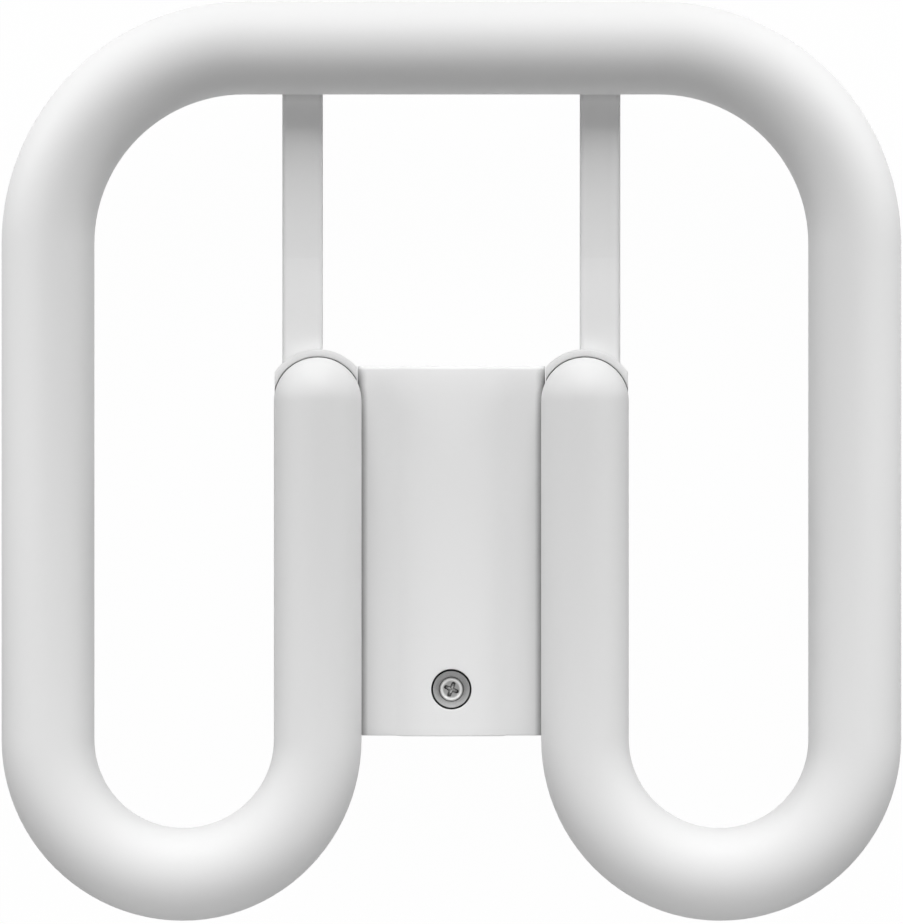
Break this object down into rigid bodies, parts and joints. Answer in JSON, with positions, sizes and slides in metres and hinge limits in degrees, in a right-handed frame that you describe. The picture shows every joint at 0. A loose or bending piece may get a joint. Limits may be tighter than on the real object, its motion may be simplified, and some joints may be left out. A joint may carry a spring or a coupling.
{
  "type": "square compact fluorescent lamp",
  "caption": "Flat square plug-in fluorescent lamp: a bent white tube with inner legs on a plastic base with support arms and a screwed front cover.",
  "frame": {"origin": "middle of the lamp's outline, on the rear face of the base that it lies on", "axes": "+Z out of the front of the lamp, +Y towards the top run of the tube, +X to the right as seen from the front"},
  "size_m": [0.138, 0.141, 0.0275],
  "materials": {
    "coated_glass": "satin white phosphor-coated glass",
    "base_plastic": "fine satin moulded white",
    "cover_plastic": "fine satin moulded white",
    "screw_steel": "bright zinc plated",
    "pin_brass": "bright nickel plated",
    "starter_glass": "clear glass",
    "capacitor_coat": "dipped gloss",
    "lead_sleeve": "smooth sleeve",
    "silicone": "soft satin"
  },
  "bodies": {
    "root": {"discharge_tube": "coated_glass", "rear_base": "base_plastic", "front_cover": "cover_plastic", "cover_screw": "screw_steel", "contact_pin_left": "pin_brass", "contact_pin_right": "pin_brass", "glow_starter": "starter_glass", "suppression_capacitor": "capacitor_coat", "pin_lead_left": "lead_sleeve", "pin_lead_right": "lead_sleeve", "starter_lead_left": "lead_sleeve", "starter_lead_right": "lead_sleeve", "leg_adhesive_left": "silicone", "leg_adhesive_right": "silicone", "arm_adhesive_left": "silicone", "arm_adhesive_right": "silicone"}
  },
  "joints": []
}
